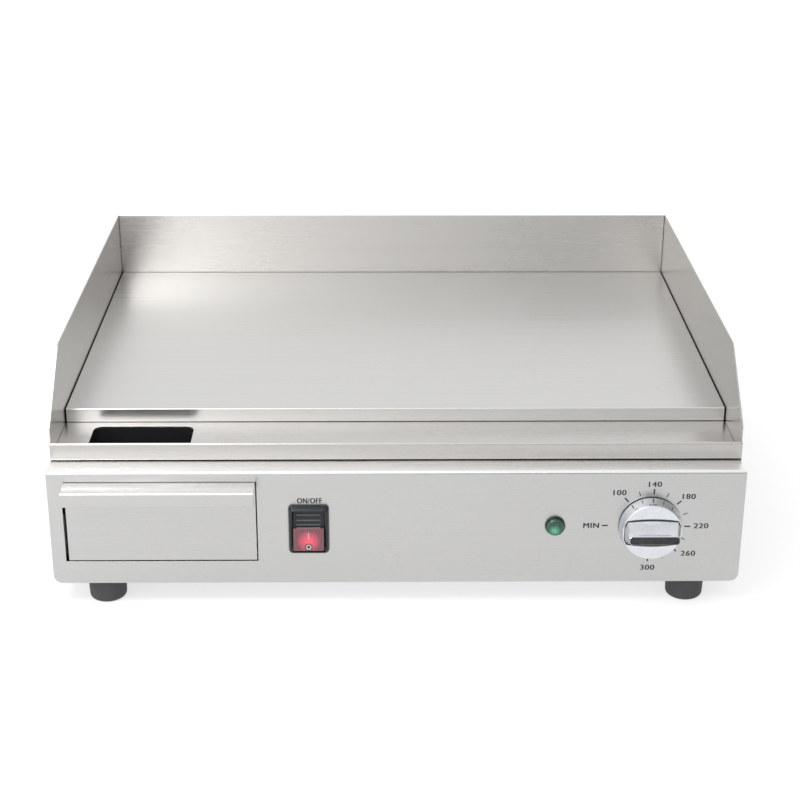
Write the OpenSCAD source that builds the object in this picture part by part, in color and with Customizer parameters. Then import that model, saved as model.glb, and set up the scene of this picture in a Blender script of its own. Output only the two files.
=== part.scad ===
// Countertop electric griddle: a folded sheet-steel housing on four rubber feet carries a thick cooking
// plate with splash guards on three sides and a grease gutter in front that drains into a pull-out drawer.
// Millimetres, +Z up, the front face looks towards -Y. Y positions in the modules are measured backwards
// from the housing's front face; front_y shifts them so that the origin lies under the middle.

/* [Housing] */
// Width of the housing
body_w = 550; // [540:5:580]
// Height of the housing walls
body_h = 98; // [97:1:108]
// Height of the feet below the housing
foot_h = 20; // [18:1:35]
// Radius of the housing's lower long edges
corner_r = 7; // [4:1:10]

/* [Cooking top] */
// Depth of the cooking plate, front to back
plate_d = 350; // [340:5:380]
// Thickness of the cooking plate
plate_t = 12; // [8:1:14]
// Height of the splash guards above the cooking plate
guard_h = 59.5; // [45:0.5:80]
// Clear width of the grease gutter in front of the plate
gutter_w = 65; // [62:0.5:70]
// Width of the drain hole in the gutter
drain_w = 82; // [60:1:85]

/* [Grease drawer] */
// Width of the drawer front
drawer_w = 150; // [146:1:155]
// Depth of the drawer box
drawer_d = 190; // [150:5:200]
// How far the handle stands out of the housing
handle_out = 20; // [15:1:22]

/* [Controls] */
// Diameter of the thermostat knob
knob_dia = 50; // [46:1:52]
// How far the knob stands out of the housing
knob_out = 28; // [25:1:32]
// Diameter of the indicator lamp's flange
lamp_dia = 16; // [14:1:18]
// Width of the switch frame
switch_w = 32; // [32:1:35]
// Height of the switch frame
switch_h = 41.5; // [41:0.5:44]
// Tilt of the rocker to each side of its middle position, in degrees
rocker_tilt = 8; // [4:1:8]

/* [Hidden] */
$fn = 64;

// Heights above the surface that the griddle stands on
sheet = 1;
base_z = foot_h;
top_z = base_z + body_h;
floor_z = base_z + sheet;
control_z = base_z + 50.5;
gutter_t = 1.3;
pan_z = top_z + 2.7;
plate_z = pan_z + gutter_t;
surface_z = plate_z + plate_t;
guard_top = surface_z + guard_h;

// Depths behind the housing's front face
lip_y = 21;
lip_t = 3;
lip_h = 14.7;
lip_z = top_z + 0.3;
plate_y = lip_y + lip_t + gutter_w;
plate_rear = plate_y + plate_d;
guard_rear = plate_rear + 2;
body_d = guard_rear + 5;
flange_y = 30;
rear_out = 19;
front_y = -(body_d + rear_out - knob_out) / 2;

// Half widths
guard_x = body_w / 2 - 0.65;
guard_t = 1;
plate_x = guard_x - guard_t - 0.6;
flange_w = 22;

// Outer radius of the folds in the front panel's and the drawer's upper edges
panel_fold_r = 2.5;
drawer_fold_r = 2;

// Splash guard outline
guard_foot_z = surface_z + 11.5;
guard_slope = 60;
guard_corner_r = 12;

// Grease drawer
drawer_x = -body_w / 2 + 13.4;
drawer_mid = drawer_x + drawer_w / 2;
drawer_z = base_z + 20.5;
drawer_top = base_z + 89.3;
drawer_gap = 0.9;
drawer_left_gap = 2.3;
handle_gap = 0.25;
box_half = drawer_w / 2 - 4;
box_z = drawer_z + 3.5;
box_top = base_z + 66;
handle_lip = 12;
rail_t = 1.2;

// Drain hole
drain_x = -body_w / 2 + 68;
drain_y = 60;
drain_d = 40;
drain_r = 8;
chute_z = box_top + 2;

// Controls
knob_x = body_w / 2 - 74;
lamp_x = body_w / 2 - 149.5;
switch_x = -70;
switch_z = base_z + 48.5;
shaft_r = 3;
skirt_rim = 3.5;
skirt_out = 13.4;
grip_root = 12;
grip_edge = 3.2;
running_gap = 0.05;
mount_screw_x = 14;
thermostat_rear = 30;
blade = 8;
switch_rear = 26;
blade_end = switch_rear + blade;
loom_y = 46;
lamp_rear = 22;
pivot_y = 4;
rocker_half_w = 12.3;
rocker_half_h = 16.6;

// Feet
foot_x = body_w / 2 - 40;
foot_y = 17.5;
foot_r = 15.6;
foot_toe_r = 13.9;
foot_places = [for (x = [-foot_x, foot_x], y = [foot_y, body_d - foot_y]) [x, y]];

// Heating elements
tube_r = 4;
tube_z = plate_z - tube_r - 0.2;
run_count = 6;
run_pitch = (plate_d - 75) / (run_count - 1);
run_y = plate_y + 40;
run_inner = 40;
run_outer = 200;
leg_z = base_z + 66;
bar_places = [-180, -80, 80, 180];
bar_t = 3;
bar_z = tube_z - tube_r - 0.1 - bar_t;
stud_rows = [for (i = [0, 2, 4]) run_y + (i + 0.5) * run_pitch];
nut_h = 3;
stud_end = bar_z - nut_h - 1;
shield_z = base_z + 73;
pad_z = shield_z + 1.2;
pad_t = 8;
bulb_y = run_y + 1.5 * run_pitch;
bulb_z = plate_z - 4;
bulb_x = [94, 158];
capillary_x = 165;

// Rear fittings
vent_x = -135;
vent_pitch = 24;
vent_count = 12;
vent_w = 6;
gland_x = body_w / 2 - 60;
gland_z = base_z + 38;
cord_bore_r = 4.5;
earth_x = gland_x - 42;
earth_z = base_z + 24;
block_x = [130, 190];
block_y = [body_d - 52, body_d - 28];
block_top = floor_z + 20;

steel = [0.80, 0.80, 0.79];
plate_steel = [0.83, 0.84, 0.84];
zinc = [0.66, 0.67, 0.69];
rubber = [0.16, 0.17, 0.19];
black = [0.10, 0.10, 0.11];

// ---- Shapes that repeat ----

// A block between two corners
module block(a, b) translate([a.x, front_y + a.y, a.z]) cube(b - a);

// Round rods along each axis
module rod_x(y, z, x0, x1, r) translate([x0, front_y + y, z]) rotate([0, 90, 0]) cylinder(r = r, h = x1 - x0);
module rod_y(x, z, y0, y1, r) translate([x, front_y + y1, z]) rotate([90, 0, 0]) cylinder(r = r, h = y1 - y0);
module rod_z(x, y, z0, z1, r) translate([x, front_y + y, z0]) cylinder(r = r, h = z1 - z0);

// A cone along Y, from radius r0 at y0 to radius r1 at y1
module cone_y(x, z, y0, y1, r0, r1) translate([x, front_y + y1, z]) rotate([90, 0, 0])
    cylinder(r1 = r1, r2 = r0, h = y1 - y0);

// Extrudes a front view (X, Z) backwards from depth y0 to depth y1
module upright(y0, y1) translate([0, front_y + y1, 0]) rotate([90, 0, 0]) linear_extrude(y1 - y0) children();

// Extrudes a side view (Y, Z) from x0 to x1
module sideways(x0, x1) translate([x0, front_y, 0]) rotate([90, 0, 90]) linear_extrude(x1 - x0) children();

// Points on a round corner, from one angle to another
function corner(centre, r, from, to) =
    [for (i = [0:6]) centre + r * [cos(from + (to - from) * i / 6), sin(from + (to - from) * i / 6)]];

// A rectangle with four round corners, centred
module round_rect(w, h, r) {
    square([w - 2 * r, h], center = true);
    square([w, h - 2 * r], center = true);
    for (x = [-1, 1], y = [-1, 1]) translate([x * (w / 2 - r), y * (h / 2 - r)]) circle(r);
}

// The housing seen from the front: square upper corners, round lower ones
module housing_outline(inset, top) {
    r = corner_r - inset;
    half = body_w / 2 - inset;
    low = base_z + inset;
    translate([-half, low + r]) square([2 * half, top - low - r]);
    translate([-half + r, low]) square([2 * (half - r), r]);
    for (x = [-1, 1]) translate([x * (half - r), low + r]) circle(r);
}

// Hexagon nuts along Z and along Y
module nut_z(x, y, z0, z1, across, bore) difference() {
    translate([x, front_y + y, z0]) cylinder(d = across / cos(30), h = z1 - z0, $fn = 6);
    rod_z(x, y, z0 - 1, z1 + 1, bore);
}
module nut_y(x, z, y0, y1, across, bore) difference() {
    translate([x, front_y + y1, z]) rotate([90, 0, 0]) cylinder(d = across / cos(30), h = y1 - y0, $fn = 6);
    rod_y(x, z, y0 - 1, y1 + 1, bore);
}

// A wire along a list of points, with a bead at each bend
module wire(points, r) {
    for (i = [1:len(points) - 1]) {
        step = points[i] - points[i - 1];
        translate([0, front_y, 0] + points[i - 1])
            rotate([0, acos(step.z / norm(step)), atan2(step.y, step.x)])
                cylinder(r = r, h = norm(step), $fn = 16);
    }
    for (i = [1:1:len(points) - 2]) translate([0, front_y, 0] + points[i]) sphere(r = 1.3 * r, $fn = 16);
}

// ---- Housing ----

service_x = [-90, 225];
service_y = [60, body_d - 80];
tab_screw_z = [base_z + 28, base_z + 72];
tab_screw_x = body_w / 2 - 8;

module housing_shell() color(steel) difference() {
    union() {
        difference() {
            upright(sheet, body_d - sheet) housing_outline(0, top_z);
            upright(sheet - 1, body_d) housing_outline(sheet, top_z + 1);
        }
        for (s = [-1, 1]) {
            // top flange that the gutter frame rests on
            block([s * (body_w / 2 - flange_w / 2) - flange_w / 2, flange_y, top_z - sheet],
                [s * (body_w / 2 - flange_w / 2) + flange_w / 2, body_d - sheet, top_z]);
            // rear tab for the rear panel's screws
            block([s * tab_screw_x - 7.5, body_d - 3, base_z + 15],
                [s * tab_screw_x + 7.5, body_d - sheet, base_z + 85]);
        }
    }
    // room for the front panel's folded upper edge
    block([-body_w / 2 - 1, 0, top_z - sheet], [body_w / 2 + 1, flange_y, top_z + 1]);
    block([-body_w / 2 - 1, 0, top_z - panel_fold_r], [body_w / 2 + 1, panel_fold_r, top_z]);
    // service opening under the controls
    block([service_x[0], service_y[0], base_z - 1], [service_x[1], service_y[1], floor_z + 1]);
    for (p = foot_places) rod_z(p.x, p.y, base_z - 1, floor_z + 1, 3.2);
    for (s = [-1, 1], z = tab_screw_z) rod_y(s * tab_screw_x, z, body_d - 4, body_d, 1.6);
    bottom_screw_places() translate([0, 0, base_z - 1]) cylinder(r = 1.6, h = sheet + 2);
}

// Places of the bottom plate's screws, around the service opening
module bottom_screw_places() for (x = [service_x[0] - 7, service_x[1] + 7],
    y = [service_y[0] + 15, (service_y[0] + service_y[1]) / 2, service_y[1] - 15])
        translate([x, front_y + y, 0]) children();

module bottom_plate() color(zinc) difference() {
    block([service_x[0] - 14, service_y[0] - 14, base_z - sheet], [service_x[1] + 14, service_y[1] + 14, base_z]);
    bottom_screw_places() translate([0, 0, base_z - 2]) cylinder(r = 2, h = 3);
    // vent slots
    for (i = [0:9], y = [service_y[0] + 60, service_y[1] - 110])
        block([service_x[0] + 40 + 24 * i, y, base_z - 2], [service_x[0] + 46 + 24 * i, y + 50, base_z + 1]);
}

module bottom_plate_screws() color(zinc) bottom_screw_places() {
    translate([0, 0, base_z - 3]) cylinder(r = 3.2, h = 2);
    translate([0, 0, base_z - 2]) cylinder(r = 1.5, h = 8);
}

module front_panel() color(steel) difference() {
    union() {
        upright(0, sheet) housing_outline(0, top_z - panel_fold_r);
        sideways(-body_w / 2, body_w / 2) polygon(concat(
            corner([panel_fold_r, top_z - panel_fold_r], panel_fold_r, 180, 90),
            [[flange_y, top_z], [flange_y, top_z - sheet]],
            corner([panel_fold_r, top_z - panel_fold_r], panel_fold_r - sheet, 90, 180)));
    }
    // drawer opening, wider on the left below the handle's lip
    block([drawer_x - handle_gap, -1, drawer_z], [drawer_x + drawer_w + drawer_gap, 2, drawer_top + handle_gap]);
    block([drawer_x - drawer_left_gap, -1, drawer_z - drawer_gap],
        [drawer_x + drawer_w + drawer_gap, 2, drawer_top - handle_lip]);
    block([switch_x - 15, -1, switch_z - 19.8], [switch_x + 15, 2, switch_z + 19.8]);
    rod_y(lamp_x, control_z, -1, 2, 5.2);
    rod_y(knob_x, control_z, -1, 2, 5);
    for (s = [-1, 1]) rod_y(knob_x + s * mount_screw_x, control_z, -1, 2, 2.1);
}

module rear_panel() color(steel) difference() {
    union() {
        upright(body_d - sheet, body_d) housing_outline(0, top_z);
        block([-body_w / 2 + flange_w + 0.2, body_d - 20, top_z - sheet],
            [body_w / 2 - flange_w - 0.2, body_d, top_z]);
    }
    rod_y(gland_x, gland_z, body_d - 2, body_d + 1, 8.1);
    rod_y(earth_x, earth_z, body_d - 2, body_d + 1, 3.1);
    for (s = [-1, 1], z = tab_screw_z) rod_y(s * tab_screw_x, z, body_d - 2, body_d + 1, 2);
    // two rows of vent slots
    for (i = [0:vent_count - 1], z = [base_z + 45, base_z + 70])
        block([vent_x + vent_pitch * i, body_d - 2, z], [vent_x + vent_pitch * i + vent_w, body_d + 1, z + 18]);
}

module rear_panel_screws() color(zinc) for (s = [-1, 1], z = tab_screw_z) {
    rod_y(s * tab_screw_x, z, body_d, body_d + 2, 3.4);
    rod_y(s * tab_screw_x, z, body_d - 8, body_d + 1, 1.5);
}

// ---- Cooking top ----

module top_gasket() color(rubber) difference() {
    block([-body_w / 2 + 8, 25, top_z], [body_w / 2 - 8, body_d - 8, pan_z]);
    block([-body_w / 2 + 18, 35, top_z - 1], [body_w / 2 - 18, body_d - 18, pan_z + 1]);
}

// The drain hole's outline, grown by a wall thickness
module drain_hole(z0, z1, wall) translate([drain_x, front_y + drain_y, z0])
    linear_extrude(z1 - z0) round_rect(drain_w + 2 * wall, drain_d + 2 * wall, drain_r + wall);

module gutter_frame() color(steel) difference() {
    union() {
        block([-guard_x, lip_y + lip_t / 2, pan_z], [guard_x, guard_rear, plate_z]);
        // hemmed lip along the front, round at its upper and lower edges
        block([-guard_x, lip_y, lip_z + lip_t / 2], [guard_x, lip_y + lip_t, lip_z + lip_h - lip_t / 2]);
        for (z = [lip_t / 2, lip_h - lip_t / 2]) rod_x(lip_y + lip_t / 2, lip_z + z, -guard_x, guard_x, lip_t / 2);
    }
    drain_hole(pan_z - 1, plate_z + 1, 0);
    // opening above the heating elements
    block([-guard_x + 28, plate_y + 4, pan_z - 1], [guard_x - 28, plate_rear - 8, plate_z + 1]);
}

// A dark chute hung under the drain hole, open to the drawer below
module drain_chute() color(black) difference() {
    union() {
        drain_hole(chute_z, pan_z, sheet);
        drain_hole(pan_z - sheet, pan_z, 4);
    }
    drain_hole(chute_z - 1, pan_z + 1, 0);
}

module cooking_plate() color(plate_steel)
    block([-plate_x, plate_y, plate_z], [plate_x, plate_rear, surface_z]);

// The side guards' outline: a low front foot, a slope and a long level edge, with a round corner between
module guard_outline() {
    y0 = lip_y + lip_t;
    turn = atan2(guard_top - guard_foot_z, guard_slope);
    centre = [y0 + guard_slope + guard_corner_r * tan(turn / 2), guard_top - guard_corner_r];
    polygon(concat([[y0, plate_z], [y0, guard_foot_z]], corner(centre, guard_corner_r, 90 + turn, 90),
        [[guard_rear, guard_top], [guard_rear, plate_z]]));
}

module left_splash_guard() color(steel) sideways(-guard_x, -guard_x + guard_t) guard_outline();
module right_splash_guard() color(steel) sideways(guard_x - guard_t, guard_x) guard_outline();
module rear_splash_guard() color(steel)
    block([-guard_x + guard_t, guard_rear - 1.2, plate_z], [guard_x - guard_t, guard_rear, guard_top]);

// ---- Grease drawer ----

// One folded sheet: the front, the handle's level flange and its downward lip
module drawer_front() color(steel) {
    inner_r = drawer_fold_r - sheet;
    root = [-inner_r, drawer_top - drawer_fold_r];
    edge = [-handle_out + drawer_fold_r, drawer_top - drawer_fold_r];
    sideways(drawer_x, drawer_x + drawer_w) polygon(concat(
        [[0, drawer_z]], corner(root, inner_r, 0, 90), corner(edge, inner_r, 90, 180),
        [[-handle_out + sheet, drawer_top - handle_lip], [-handle_out, drawer_top - handle_lip]],
        corner(edge, drawer_fold_r, 180, 90), [[sheet, drawer_top], [sheet, drawer_z]]));
}

module drawer_box() color(zinc) difference() {
    block([drawer_mid - box_half, sheet, box_z], [drawer_mid + box_half, sheet + drawer_d, box_top]);
    block([drawer_mid - box_half + sheet, 2 * sheet, box_z + sheet],
        [drawer_mid + box_half - sheet, drawer_d, box_top + 1]);
}

// A guide rail: web, foot on the housing floor, ledge under the box and a stop behind it
module drawer_rail(s) color(zinc) {
    outer = drawer_mid + s * (box_half + 8);
    web = outer - s * rail_t;
    ledge = outer - s * 16;
    rail_end = sheet + drawer_d + 2;
    block([min(outer, web), 8, floor_z], [max(outer, web), rail_end, box_top - 8]);
    block([min(web, ledge), 8, floor_z], [max(web, ledge), rail_end, floor_z + rail_t]);
    block([min(web, ledge), 8, box_z - 0.3 - rail_t], [max(web, ledge), rail_end, box_z - 0.3]);
    block([min(web, ledge), rail_end - rail_t, box_z - 0.3], [max(web, ledge), rail_end, box_z + 15]);
}
module left_drawer_rail() drawer_rail(-1);
module right_drawer_rail() drawer_rail(1);

// ---- Feet ----

// A rubber foot: tapered, with a recess for the screw head
module foot(p) color(rubber) difference() {
    union() {
        translate([p.x, front_y + p.y, 4]) cylinder(r1 = foot_r - 0.6, r2 = foot_r, h = base_z - 4);
        translate([p.x, front_y + p.y, 0]) cylinder(r1 = foot_toe_r, r2 = foot_r - 0.6, h = 4);
    }
    rod_z(p.x, p.y, -1, 6, 6.5);
    rod_z(p.x, p.y, 5, base_z + 1, 3.1);
}
module front_left_foot() foot(foot_places[0]);
module rear_left_foot() foot(foot_places[1]);
module front_right_foot() foot(foot_places[2]);
module rear_right_foot() foot(foot_places[3]);

module foot_screws() color(zinc) for (p = foot_places) {
    rod_z(p.x, p.y, 3, 6, 5.5);
    rod_z(p.x, p.y, 5, floor_z + 8, 3);
}
module foot_nuts() color(zinc) for (p = foot_places) nut_z(p.x, p.y, floor_z, floor_z + 5, 10, 3.05);

// ---- Heating ----

// A tubular element bent back and forth under one half of the plate
module heating_element(s) color([0.32, 0.30, 0.28]) {
    inner = s * run_inner;
    outer = s * run_outer;
    for (i = [0:run_count - 1]) rod_x(run_y + i * run_pitch, tube_z, min(inner, outer), max(inner, outer), tube_r);
    for (i = [0:run_count - 2]) {
        turn_x = i % 2 == 0 ? outer : inner;
        side = i % 2 == 0 ? s : -s;
        translate([turn_x, front_y + run_y + (i + 0.5) * run_pitch, tube_z])
            rotate([0, 0, side > 0 ? -90 : 90])
                rotate_extrude(angle = 180) translate([run_pitch / 2, 0]) circle(tube_r);
    }
    for (y = [run_y, run_y + (run_count - 1) * run_pitch]) {
        translate([inner, front_y + y, tube_z]) sphere(tube_r);
        rod_z(inner, y, leg_z, tube_z, tube_r);
    }
}
module left_heating_element() heating_element(-1);
module right_heating_element() heating_element(1);

// Every leg of the two elements
module legs() for (x = [-run_inner, run_inner], y = [run_y, run_y + (run_count - 1) * run_pitch])
    translate([x, front_y + y, 0]) children();

module element_pins() color([0.75, 0.62, 0.35]) legs() {
    translate([0, 0, leg_z - 12]) cylinder(r = 2, h = 12);
    translate([0, 0, leg_z - 4]) cylinder(r = 3.6, h = 3);
}

// Every stud under the plate
module stud_places() for (x = bar_places, y = stud_rows) translate([x, front_y + y, 0]) children();

module plate_studs() color(zinc) stud_places() translate([0, 0, stud_end]) cylinder(r = 2.5, h = plate_z - stud_end);

module clamp_bars() color(zinc) difference() {
    for (x = bar_places) block([x - 9, run_y - 14, bar_z],
        [x + 9, run_y + (run_count - 1) * run_pitch + 14, bar_z + bar_t]);
    stud_places() translate([0, 0, bar_z - 1]) cylinder(r = 2.8, h = bar_t + 2);
}

module clamp_nuts() color(zinc) for (x = bar_places, y = stud_rows) nut_z(x, y, bar_z - nut_h, bar_z, 8, 2.55);

// Openings for the element legs and the capillary through the pad and the shield
module leg_holes() {
    legs() translate([0, 0, shield_z - 1]) cylinder(r = 7, h = pad_t + 4);
    rod_z(capillary_x, bulb_y, shield_z - 1, pad_z + pad_t + 1, 4);
}

module insulation_pad() color([0.90, 0.88, 0.82]) difference() {
    block([-232, plate_y + 12, pad_z], [232, plate_rear - 22, pad_z + pad_t]);
    leg_holes();
}

module heat_shield() color(zinc) difference() {
    union() {
        block([-236, plate_y + 8, shield_z], [236, plate_rear - 18, pad_z]);
        for (x = [-236, 235]) block([x, plate_y + 8, shield_z], [x + 1, plate_rear - 18, pad_z + pad_t]);
        // tabs that reach the housing's walls
        for (s = [-1, 1], y = [plate_y + 50, plate_rear - 90]) {
            block([s * (body_w / 2 + 235) / 2 - (body_w / 2 - 237) / 2, y, shield_z],
                [s * (body_w / 2 + 235) / 2 + (body_w / 2 - 237) / 2, y + 30, pad_z]);
            block([s * (body_w / 2 - 1.5) - 0.5, y, shield_z], [s * (body_w / 2 - 1.5) + 0.5, y + 30, shield_z + 12]);
        }
    }
    leg_holes();
}

// ---- Thermostat ----

module thermostat_bracket() color(zinc) difference() {
    block([knob_x - 20, sheet, control_z - 9], [knob_x + 20, 3, control_z + 9]);
    rod_y(knob_x, control_z, 0, 4, 5);
    for (s = [-1, 1]) rod_y(knob_x + s * mount_screw_x, control_z, 0, 4, 2.05);
}

module thermostat_screws() color(zinc) for (s = [-1, 1]) {
    rod_y(knob_x + s * mount_screw_x, control_z, -1.8, 0, 3.6);
    rod_y(knob_x + s * mount_screw_x, control_z, -1, 6, 2);
}

module thermostat_body() color([0.85, 0.84, 0.80]) difference() {
    union() {
        block([knob_x - 18, 3, control_z - 17], [knob_x + 18, thermostat_rear, control_z + 17]);
        // four blade terminals
        for (dx = [-12, -4, 4, 12]) block([knob_x + dx - 0.4, thermostat_rear - 0.5, control_z - 14],
            [knob_x + dx + 0.4, thermostat_rear + blade, control_z - 8]);
    }
    rod_y(knob_x, control_z, 2, 16, shaft_r + running_gap);
    for (s = [-1, 1]) rod_y(knob_x + s * mount_screw_x, control_z, 2, 7, 2.05);
}

module thermostat_shaft() color([0.78, 0.70, 0.45]) rod_y(knob_x, control_z, -20, 15, shaft_r);

// A chrome knob: a deep skirt that narrows forwards and a wedge-shaped grip across it
module knob() color([0.88, 0.88, 0.90]) {
    knob_r = knob_dia / 2;
    difference() {
        union() {
            rod_y(knob_x, control_z, -skirt_rim, -1, knob_r);
            cone_y(knob_x, control_z, -skirt_out, -skirt_rim, knob_r * 0.944, knob_r);
            intersection() {
                cone_y(knob_x, control_z, -knob_out, 1 - skirt_out, knob_r * 0.79, knob_r * 0.9);
                sideways(knob_x - knob_r, knob_x + knob_r) polygon([
                    [1 - skirt_out, control_z - grip_root], [1 - skirt_out, control_z + grip_root],
                    [-knob_out, control_z + grip_edge], [-knob_out, control_z - grip_edge]]);
            }
        }
        rod_y(knob_x, control_z, -3, 0, knob_r - 3);
        rod_y(knob_x, control_z, -21, 0, shaft_r + running_gap);
    }
}

module capillary_tube() color([0.72, 0.45, 0.30])
    wire([[bulb_x[1], bulb_y, bulb_z], [capillary_x, bulb_y, bulb_z], [capillary_x, bulb_y, control_z + 8],
        [knob_x + 8, 60, control_z + 8], [knob_x + 8, thermostat_rear, control_z + 8]], 0.9);

module sensor_bulb() color([0.72, 0.45, 0.30]) rod_x(bulb_y, bulb_z, bulb_x[0], bulb_x[1], 3);

module bulb_sleeve() color(zinc) difference() {
    rod_x(bulb_y, bulb_z, bulb_x[0] + 5, bulb_x[1] - 5, 4);
    rod_x(bulb_y, bulb_z, bulb_x[0], bulb_x[1], 3.05);
}

// ---- Switch ----

module switch_frame() color(black) difference() {
    union() {
        // bevelled bezel in front of the panel
        translate([switch_x, front_y, switch_z]) rotate([90, 0, 0]) linear_extrude(3) round_rect(switch_w, switch_h, 3);
        translate([switch_x, front_y, switch_z]) rotate([90, 0, 0]) linear_extrude(4.5)
            round_rect(switch_w - 1, switch_h - 2, 3);
        translate([switch_x, front_y, switch_z]) rotate([90, 0, 0]) linear_extrude(6)
            round_rect(switch_w - 2, switch_h - 3.2, 2.5);
        block([switch_x - 14.5, 0, switch_z - 19.6], [switch_x + 14.5, switch_rear, switch_z + 19.6]);
    }
    block([switch_x - 12.7, -7, switch_z - 18.6], [switch_x + 12.7, 14, switch_z + 18.6]);
    rod_x(pivot_y, switch_z, switch_x - 14, switch_x + 14, 1.5 + running_gap);
}

module switch_terminals() color([0.75, 0.62, 0.35]) for (x = [-7, 7], z = [-12, 0, 12])
    block([switch_x + x - 0.4, switch_rear, switch_z + z - 3], [switch_x + x + 0.4, blade_end, switch_z + z + 3]);

// Places a rocker piece, tilted about its pivot with the lower half outwards
module rocked() translate([switch_x, front_y + pivot_y, switch_z]) rotate([-rocker_tilt, 0, 0]) children();

module rocker_paddle() color(black) rocked() {
    front = -9;
    w = rocker_half_w;
    h = rocker_half_h;
    translate([-w, front, -h]) cube([2 * w, 6.5, 2 * h]);
    translate([-w, 0, 0]) rotate([0, 90, 0]) cylinder(r = 4.5, h = 2 * w);
    translate([-w - 1, 0, 0]) rotate([0, 90, 0]) cylinder(r = 1.5, h = 2 * w + 2);
    for (z = [5, 9, 13]) translate([-w + 4, front, z]) rotate([0, 90, 0]) cylinder(r = 0.8, h = 2 * w - 8);
}

module rocker_lens() color([0.75, 0.15, 0.20]) rocked()
    translate([-rocker_half_w + 0.2, -12.4, -rocker_half_h]) cube([2 * rocker_half_w - 0.4, 3.4, rocker_half_h + 2.3]);

// ---- Indicator lamp ----

module lamp_body() color(black) {
    rod_y(lamp_x, control_z, -2.2, 0, lamp_dia / 2);
    rod_y(lamp_x, control_z, -1, lamp_rear, 5);
}
module lamp_lens() color([0.15, 0.60, 0.30]) {
    rod_y(lamp_x, control_z, -4, -2.2, lamp_dia / 2 - 0.8);
    cone_y(lamp_x, control_z, -6, -4, lamp_dia / 2 - 3, lamp_dia / 2 - 0.8);
}
module lamp_nut() color(zinc) nut_y(lamp_x, control_z, sheet, 4, 14, 5.05);

// ---- Rear fittings and wiring ----

module terminal_block() color([0.92, 0.90, 0.84]) difference() {
    block([block_x[0], block_y[0], floor_z], [block_x[1], block_y[1], block_top]);
    for (i = [0:4]) {
        rod_y(block_x[0] + 6 + 12 * i, floor_z + 9, block_y[0] - 1, block_y[1] + 1, 2.2);
        rod_z(block_x[0] + 6 + 12 * i, block_y[0] + 6, floor_z + 12, block_top + 1, 2);
        rod_z(block_x[0] + 6 + 12 * i, block_y[1] - 6, floor_z + 12, block_top + 1, 2);
    }
}

// A gland with a threaded barrel through the rear panel and an open bore for the cord
module cable_gland() color(black) difference() {
    union() {
        rod_y(gland_x, gland_z, body_d - 10, body_d + 1, 8);
        translate([gland_x, front_y + body_d + 6, gland_z]) rotate([90, 0, 0]) cylinder(d = 22, h = 6, $fn = 6);
        rod_y(gland_x, gland_z, body_d + 5, body_d + 15, 9);
        cone_y(gland_x, gland_z, body_d + 15, body_d + rear_out, 9, 6.5);
    }
    rod_y(gland_x, gland_z, body_d - 11, body_d + rear_out + 1, cord_bore_r);
}
module gland_locknut() color(black) nut_y(gland_x, gland_z, body_d - 5.5, body_d - sheet, 22, 8.05);

module earth_stud() color(zinc) rod_y(earth_x, earth_z, body_d - 14, body_d + 12, 3);
module earth_nuts() color(zinc) {
    nut_y(earth_x, earth_z, body_d - 6, body_d - sheet, 10, 3.05);
    nut_y(earth_x, earth_z, body_d, body_d + 5, 10, 3.05);
}

// Cores from the gland's inner end to the terminal block
module supply_wires() color([0.45, 0.30, 0.15]) for (i = [0:2]) {
    end_x = block_x[1] - 6 - 12 * i;
    wire([[gland_x - 3 * i, body_d - 13, gland_z + 3 - 3 * i], [end_x, block_y[1] + 6, floor_z + 9],
        [end_x, block_y[1] - 4, floor_z + 9]], 1);
}

// Cores between the terminal block, the switch, the lamp and the thermostat; each one leaves its blade straight
module control_wires() color([0.15, 0.20, 0.45]) {
    wire([[switch_x + 7, blade_end, switch_z - 12], [switch_x + 7, loom_y, switch_z - 12],
        [switch_x + 7, loom_y, base_z + 20], [knob_x - 12, loom_y, base_z + 20],
        [knob_x - 12, loom_y, control_z - 11], [knob_x - 12, thermostat_rear + blade, control_z - 11]], 1.2);
    wire([[block_x[1] - 6, block_y[0] + 4, floor_z + 9], [block_x[1] - 6, block_y[0] - 12, floor_z + 9],
        [switch_x - 7, loom_y + 20, base_z + 30], [switch_x - 7, loom_y, switch_z],
        [switch_x - 7, blade_end, switch_z]], 1.2);
    wire([[lamp_x, lamp_rear, control_z], [lamp_x, loom_y + 6, control_z],
        [switch_x + 7, loom_y + 6, switch_z], [switch_x + 7, blade_end, switch_z]], 0.9);
}

// Cores from the thermostat and the terminal block to the elements
module element_wires() color([0.85, 0.82, 0.75]) for (s = [-1, 1]) {
    rear_y = run_y + (run_count - 1) * run_pitch;
    level = leg_z - 20 + 4 * s;
    drop_x = knob_x + 8 + 4 * s;
    end_x = block_x[0] + 12 + 6 * s;
    wire([[s * run_inner, run_y, leg_z - 12], [s * run_inner, run_y, level], [drop_x, 74 + 8 * s, level],
        [drop_x, loom_y, control_z - 11],
        [drop_x, thermostat_rear + blade, control_z - 11]], 1.2);
    wire([[s * run_inner, rear_y, leg_z - 12], [s * run_inner, rear_y, level - 4],
        [end_x, block_y[0] - 12, floor_z + 9], [end_x, block_y[0] + 4, floor_z + 9]], 1.2);
}

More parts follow.
